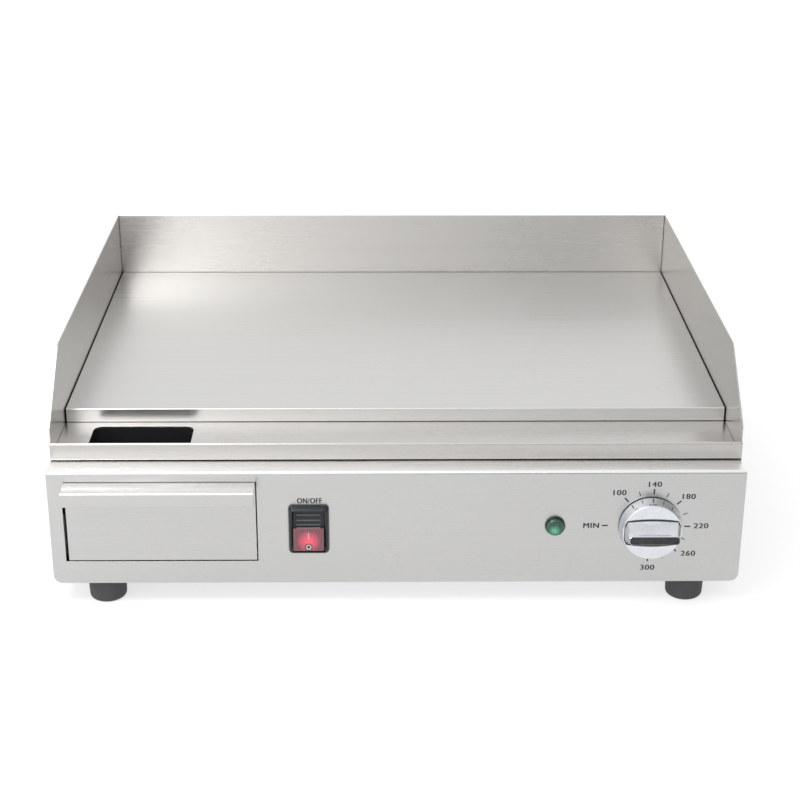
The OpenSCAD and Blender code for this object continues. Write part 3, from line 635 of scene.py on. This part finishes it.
# from here on, places on the rocker are measured from its pivot, before it leans
ROCKER_HALF_W = 12.3 * MM
ROCKER_HALF_H = 16.6 * MM
ROCKER_Y = -9.0 * MM
ROCKER_THICK = 6.3 * MM
RIDGE_HEIGHTS = (12.6 * MM, 8.2 * MM, 4.4 * MM)
RIDGE_HALF = (9.6 * MM, 0.5 * MM)
LENS_OUT = 3.35 * MM
LENS_Y = ROCKER_Y - LENS_OUT
LENS_TOP = 2.25 * MM
# where the painted glow of the red lens is brightest, and how far it reaches
PAINTED_GLOW_Z = -8.6 * MM
PAINTED_GLOW_REACH = 9.5 * MM
ON_MARK = (-6.4 * MM, -1.6 * MM)
ON_MARK_HALF = 0.4 * MM
OFF_MARK_Z = -13.3 * MM
OFF_MARK_R = (1.15 * MM, 2.25 * MM)
OFF_GROUND_R = (0.01 * MM, 3.0 * MM)
PAINTED_GLINT_HALF = 9.3 * MM
RING_SIDES = 32


def rocker_piece(name, bm, material, slot, *stands_for, **shape):
    """Leans what was built about the rocker's pivot, and puts it on the rocker."""
    for v in bm.verts:
        v.co = PIVOT + ROCKER_LEAN @ v.co
    new_piece(name, bm, material, "rocker", slot, stands_for, **shape)


def flat_ring(bm, y, z, radii):
    """A flat ring that faces forwards, centred at height z."""
    inner, outer = radii
    for i in range(RING_SIDES):
        a, b = (2 * math.pi * (i + k) / RING_SIDES for k in (0, 1))
        corners = ((outer, a), (outer, b), (inner, b), (inner, a))
        bm.faces.new([bm.verts.new((r * math.cos(t), y, z + r * math.sin(t))) for r, t in corners])


def make_rocker():
    bm = bmesh.new()
    slab(bm, (-ROCKER_HALF_W, ROCKER_Y, -ROCKER_HALF_H),
         (ROCKER_HALF_W, ROCKER_Y + ROCKER_THICK, ROCKER_HALF_H))
    rocker_piece("rocker_body", bm, PLASTIC, "black_plastic", "rocker_paddle", bevel=0.35 * MM)
    bm = bmesh.new()
    half_w, half_h = RIDGE_HALF
    for z in RIDGE_HEIGHTS:
        slab(bm, (-half_w, ROCKER_Y - 0.75 * MM, z - half_h),
             (half_w, ROCKER_Y + 0.2 * MM, z + half_h))
    rocker_piece("rocker_ridges", bm, RIDGE_PAINTED_HIGHLIGHT, "black_plastic", bevel=0.3 * MM)
    make_rocker_lens()
    make_rocker_marks()


def make_rocker_lens():
    bm = bmesh.new()
    half_w = ROCKER_HALF_W - 0.22 * MM
    slab(bm, (-half_w, LENS_Y, 0.05 * MM - ROCKER_HALF_H), (half_w, ROCKER_Y, LENS_TOP))
    painted_glow_core = PIVOT + ROCKER_LEAN @ Vector((0, LENS_Y, PAINTED_GLOW_Z))
    red = lens("red_lens", colour=(0.13, 0.03, 0.045), painted_glow_core=(0.85, 0.075, 0.13),
               centre=tuple(painted_glow_core), reach=PAINTED_GLOW_REACH, glow=0.10)
    rocker_piece("rocker_window", bm, red, "red_lens", "rocker_lens", bevel=0.6 * MM, segments=3)


def make_rocker_marks():
    """The on and off symbols, the dark ground below the second, and a painted glint: a pale strip
    on the lens's top that stands for a highlight.
    """
    bm = bmesh.new()
    slab(bm, (-ON_MARK_HALF, LENS_Y - 0.03 * MM, ON_MARK[0]),
         (ON_MARK_HALF, LENS_Y + 0.05 * MM, ON_MARK[1]))
    flat_ring(bm, LENS_Y - 0.06 * MM, OFF_MARK_Z, OFF_MARK_R)
    rocker_piece("rocker_symbols", bm, MARK_AND_PAINTED_GLINT, "red_lens")
    bm = bmesh.new()
    flat_ring(bm, LENS_Y - 0.02 * MM, OFF_MARK_Z, OFF_GROUND_R)
    rocker_piece("rocker_symbol_ground", bm, INK, "red_lens")
    # painted highlight: a pale strip along the lens's top edge
    bm = bmesh.new()
    slab(bm, (-PAINTED_GLINT_HALF, LENS_Y + 0.8 * MM, LENS_TOP - 0.1 * MM),
         (PAINTED_GLINT_HALF, LENS_Y + 2.2 * MM, LENS_TOP + 0.04 * MM))
    rocker_piece("rocker_painted_glint", bm, MARK_AND_PAINTED_GLINT, "red_lens")


# ---------------------------------------------------------------- lamp

BARREL_R = 5.0 * MM
BARREL_DEEP = 12.0 * MM
COLLAR_OUT = 2.0 * MM
COLLAR_ROUND = 0.8 * MM
DOME_INSET = 0.85 * MM
DOME_ROUND = 1.6 * MM
DOME_LOBES = 6
DOME_FACET = 0.5 * MM
FACETED_TO = 0.8  # share of the dome's radius


def make_lamp():
    low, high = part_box("lamp_body")
    r = (high.x - low.x) / 2
    centre = (LAMP.x, FRONT_Y, LAMP.z)
    bm = bmesh.new()
    collar = [(BARREL_R, -BARREL_DEEP), (BARREL_R, 0.0), (r, 0.0)]
    collar += arc((r - COLLAR_ROUND, 1.3 * MM), COLLAR_ROUND, 0, 90, 5)
    collar += [(r - 1.2 * MM, COLLAR_OUT), (0.0, COLLAR_OUT)]
    lathe(bm, collar, centre, FORWARDS, TURNED_STEPS)
    new_piece("lamp_collar", bm, LAMP_RIM, "griddle", "black_plastic", ("lamp_body",))
    make_lamp_dome(centre, r - DOME_INSET)


def make_lamp_dome(centre, r):
    """The green lens, with shallow facets that fan out from its middle."""
    reach = FRONT_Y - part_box("lamp_lens")[0].y
    dome = [(r, 1.8 * MM), (r, 3.2 * MM)]
    dome += arc((r - DOME_ROUND, 3.4 * MM), DOME_ROUND, 0, 70, 6)
    dome += [(r - 3.0 * MM, reach - 0.55 * MM), (r - 4.6 * MM, reach - 0.12 * MM)]
    dome += [(0.0, reach - 0.02 * MM)]
    bm = bmesh.new()
    lathe(bm, dome, centre, FORWARDS, TURNED_STEPS)
    for v in bm.verts:
        dx, dz = v.co.x - LAMP.x, v.co.z - LAMP.z
        away = math.hypot(dx, dz)
        if 0.0 < away < r * FACETED_TO:
            ridge = abs(math.cos(DOME_LOBES * math.atan2(dz, dx)))
            v.co.y += DOME_FACET * (1 - ridge) * away / r
    painted_glow_core = (LAMP.x - 0.6 * MM, FRONT_Y - reach, LAMP.z - 2.0 * MM)
    green = lens("green_lens", colour=(0.003, 0.05, 0.026), painted_glow_core=(0.07, 0.46, 0.26),
                 centre=painted_glow_core, reach=5.0 * MM, glow=0.04)
    new_piece("lamp_dome", bm, green, "griddle", "green_lens", ("lamp_lens",), smooth=12)


# ---------------------------------------------------------------- printed scale

PRINT_DEPTH = 0.06 * MM
TICK_IN = 27.5 * MM
TICK_LONG, TICK_SHORT = 4.7 * MM, 3.8 * MM
TICK_HALF_BOLD, TICK_HALF_THIN = 0.58 * MM, 0.36 * MM
FIRST_HEAT, LAST_HEAT, HEAT_STEP = 100, 300, 20
FIRST_ANGLE = 131.0
STEP_ANGLE = 22.15
MIN_ANGLE = 180.0
MIN_SHIFT = 6.0 * MM
LETTER_GAP = 1.12
NUMBER_SIZE = 6.5 * MM
SWITCH_WORD_SIZE = 6.4 * MM
# places of the words beside the knob, in millimetres from its axis
SCALE_WORDS = {"100": (-26.0, 28.7), "140": (1.6, 35.9), "180": (29.0, 25.2), "220": (40.8, -0.8),
               "260": (32.0, -25.4), "300": (0.0, -38.0)}
MIN_PLACE = (-46.8, -0.2)


def flat_quad(bm, points):
    """A face of ink just in front of the panel; points are (x, z)."""
    bm.faces.new([bm.verts.new((x, FRONT_Y - PRINT_DEPTH, z)) for x, z in points])


def add_text(bm, words, x, z, size, widen=1.12, bold=0.24 * MM):
    """Flat lettering centred on (x, z), from Blender's own font. It is printed twice, bold to the
    left and bold to the right, which thickens the upright strokes."""
    curve = bpy.data.curves.new("lettering", "FONT")
    curve.body = words
    curve.size = size
    curve.align_x = "CENTER"
    curve.align_y = "CENTER"
    curve.space_character = LETTER_GAP
    holder = bpy.data.objects.new("lettering", curve)
    bpy.context.scene.collection.objects.link(holder)
    bpy.context.view_layer.update()
    depsgraph = bpy.context.evaluated_depsgraph_get()
    flat = bpy.data.meshes.new_from_object(holder.evaluated_get(depsgraph))
    flat.transform(Matrix.Rotation(math.radians(90), 4, "X") @ Matrix.Diagonal((widen, 1, 1, 1)))
    for shift, depth in ((-bold, PRINT_DEPTH), (bold, PRINT_DEPTH * 0.2)):
        print_run = flat.copy()
        print_run.transform(Matrix.Translation((x + shift, FRONT_Y - depth, z)))
        bm.from_mesh(print_run)
        bpy.data.meshes.remove(print_run)
    bpy.data.objects.remove(holder)
    bpy.data.curves.remove(curve)
    bpy.data.meshes.remove(flat)


def add_tick(bm, cx, cz, degrees, numbered, shift=0.0):
    """A radial tick at an angle from +X; the ones beside a number are longer and bolder."""
    a = math.radians(degrees)
    out = Vector((math.cos(a), math.sin(a)))
    side = Vector((-out.y, out.x)) * (TICK_HALF_BOLD if numbered else TICK_HALF_THIN)
    inner = out * (TICK_IN + shift)
    outer = inner + out * (TICK_LONG if numbered else TICK_SHORT)
    corners = (inner + side, inner - side, outer - side, outer + side)
    flat_quad(bm, [(cx + p.x, cz + p.y) for p in corners])


def make_print():
    cx, cz = KNOB.x, KNOB.z - 0.1 * MM
    bm = bmesh.new()
    add_tick(bm, cx, cz, MIN_ANGLE, True, MIN_SHIFT)
    for heat in range(FIRST_HEAT, LAST_HEAT + 1, HEAT_STEP):
        degrees = FIRST_ANGLE - STEP_ANGLE * (heat - FIRST_HEAT) / HEAT_STEP
        add_tick(bm, cx, cz, degrees, (heat - FIRST_HEAT) % (2 * HEAT_STEP) == 0)
    for words, (dx, dz) in SCALE_WORDS.items():
        add_text(bm, words, cx + dx * MM, cz + dz * MM, NUMBER_SIZE)
    add_text(bm, "MIN", cx + MIN_PLACE[0] * MM, cz + MIN_PLACE[1] * MM, NUMBER_SIZE,
             1.05, 0.26 * MM)
    add_text(bm, "ON/OFF", SWITCH.x + 0.9 * MM, SWITCH.z + 24.3 * MM, SWITCH_WORD_SIZE,
             0.78, 0.27 * MM)
    new_piece("printed_scale", bm, INK, "griddle", "black_plastic")


# ---------------------------------------------------------------- camera

# from the perspective fit of the object's corners; angles in degrees, lengths in metres
LENS_MM = 77.2
SENSOR_MM = 36
CAMERA_PITCH = 22.954
CAMERA_YAW = 0.845
CAMERA_ROLL = 0.219
CAMERA_DISTANCE = 1.31899
TARGET_HEIGHT = 0.17906
TARGET_X = 0.0019
SEES_TO = 50


def make_camera():
    data = bpy.data.cameras.new("camera")
    data.lens = LENS_MM
    data.sensor_width = SENSOR_MM
    data.clip_end = SEES_TO
    camera = bpy.data.objects.new("camera", data)
    bpy.context.scene.collection.objects.link(camera)
    pitch, yaw, roll = (math.radians(a) for a in (CAMERA_PITCH, CAMERA_YAW, CAMERA_ROLL))
    level = Vector((math.sin(yaw), math.cos(yaw), 0)) * math.cos(pitch)
    ahead = level - Vector((0, 0, math.sin(pitch)))
    right = Vector((math.cos(yaw), -math.sin(yaw), 0))
    up = right.cross(ahead)
    rolled_right = right * math.cos(roll) + up * math.sin(roll)
    rolled_up = up * math.cos(roll) - right * math.sin(roll)
    spot = Vector((TARGET_X, FRONT_Y, TARGET_HEIGHT)) - ahead * CAMERA_DISTANCE
    basis = Matrix((rolled_right, rolled_up, -ahead)).transposed().to_4x4()
    camera.matrix_world = Matrix.Translation(spot) @ basis
    bpy.context.scene.camera = camera


# ---------------------------------------------------------------- studio

FLOOR_HALF = 30.0
FLOOR_GREYS = (0.36, 0.38)
FLOOR_GLOW = 0.66
KEY_WATTS = 9
FLOOR_LIGHT_WATTS = 2.7
TENT_LEVEL = 1.05
TENT_COLOUR = (1.0, 0.996, 0.99, 1)
SOFT_BOX = 0.9  # added to the tent's level high in front, on the left
ROOM_SHARE = 0.05  # what is left of the level in the dark room behind the viewer
RIGHT_FLAG = -0.4 * TENT_LEVEL  # this and the next dim it on the right
RIGHT_SIDE = -0.28


def area_light(name, spot, aim, size, power):
    data = bpy.data.lights.new(name, "AREA")
    data.shape = "RECTANGLE"
    data.size, data.size_y = size
    data.energy = power
    light = bpy.data.objects.new(name, data)
    light.location = spot
    light.rotation_euler = (Vector(aim) - Vector(spot)).to_track_quat("-Z", "Y").to_euler()
    bpy.context.scene.collection.objects.link(light)


def make_floor():
    """White paper that glows a little, so that it looks plain white and takes a faint shadow."""
    bm = bmesh.new()
    corners = ((-1, -1), (1, -1), (1, 1), (-1, 1))
    bm.faces.new([bm.verts.new((x * FLOOR_HALF, y * FLOOR_HALF, 0)) for x, y in corners])
    mesh = bpy.data.meshes.new("floor")
    bm.to_mesh(mesh)
    bm.free()
    floor = bpy.data.objects.new("floor", mesh)
    bpy.context.scene.collection.objects.link(floor)
    g = Graph("floor_paper")
    darker, paler = ((grey, grey, grey, 1) for grey in FLOOR_GREYS)
    g.plug(g.shader.inputs["Base Color"], g.mix(g.noise(3.0, 2.0), darker, paler))
    g.shader.inputs["Emission Color"].default_value = (1, 1, 1, 1)
    g.shader.inputs["Emission Strength"].default_value = FLOOR_GLOW
    g.shader.inputs["Roughness"].default_value = 0.9
    g.shader.inputs["Specular IOR Level"].default_value = 0.1
    mesh.materials.append(g.material)


def make_world():
    """A white tent: brightest high in front on the left, dimmer on the right, and a dark room in a
    small patch low behind the viewer."""
    world = bpy.data.worlds.new("studio")
    world.use_nodes = True
    tree = world.node_tree
    bpy.context.scene.world = world
    coords = tree.nodes.new("ShaderNodeTexCoord")

    def patch(towards, edge, full, change):
        """Nothing up to edge and all of change from full on; both are cosines from towards."""
        facing = tree.nodes.new("ShaderNodeVectorMath")
        facing.operation = "DOT_PRODUCT"
        tree.links.new(coords.outputs["Generated"], facing.inputs[0])
        facing.inputs[1].default_value = Vector(towards).normalized()
        level = tree.nodes.new("ShaderNodeMapRange")
        level.interpolation_type = "SMOOTHSTEP"
        tree.links.new(facing.outputs["Value"], level.inputs["Value"])
        for key, number in (("From Min", edge), ("From Max", full),
                            ("To Min", 0.0), ("To Max", change)):
            level.inputs[key].default_value = number
        return level.outputs["Result"]

    def join(kind, a, b):
        made = tree.nodes.new("ShaderNodeMath")
        made.operation = kind
        tree.links.new(a, made.inputs[0])
        if isinstance(b, float):
            made.inputs[1].default_value = b
        else:
            tree.links.new(b, made.inputs[1])
        return made.outputs[0]

    soft_box = patch((-0.35, -0.85, 0.45), 0.62, 0.97, SOFT_BOX)
    dark_room = patch((0.165, -1.0, 0.165), 0.965, 0.99, ROOM_SHARE - 1.0)
    right_flag = patch((0.93, 0.15, 0.33), 0.85, 0.94, RIGHT_FLAG)
    right_side = patch((1.0, -0.4, 0.2), 0.1, 0.9, RIGHT_SIDE)
    back = tree.nodes["Background"]
    back.inputs["Color"].default_value = TENT_COLOUR
    tent = join("ADD", join("ADD", soft_box, join("ADD", right_flag, right_side)), TENT_LEVEL)
    tree.links.new(join("MULTIPLY", tent, join("ADD", dark_room, 1.0)), back.inputs["Strength"])


def make_studio():
    bpy.context.scene.view_settings.view_transform = "Standard"
    make_floor()
    make_world()
    area_light("key", (-0.7, -0.6, 1.9), aim=(0, 0, 0.1), size=(1.2, 0.9), power=KEY_WATTS)
    area_light("floor_light", (-0.45, -0.6, 0.8), aim=(-0.42, -0.55, 0), size=(0.3, 0.3),
               power=FLOOR_LIGHT_WATTS)


finish_nodes()
make_feet()
make_knob()
make_switch_frame()
make_rocker()
make_lamp()
make_print()
make_camera()
make_studio()
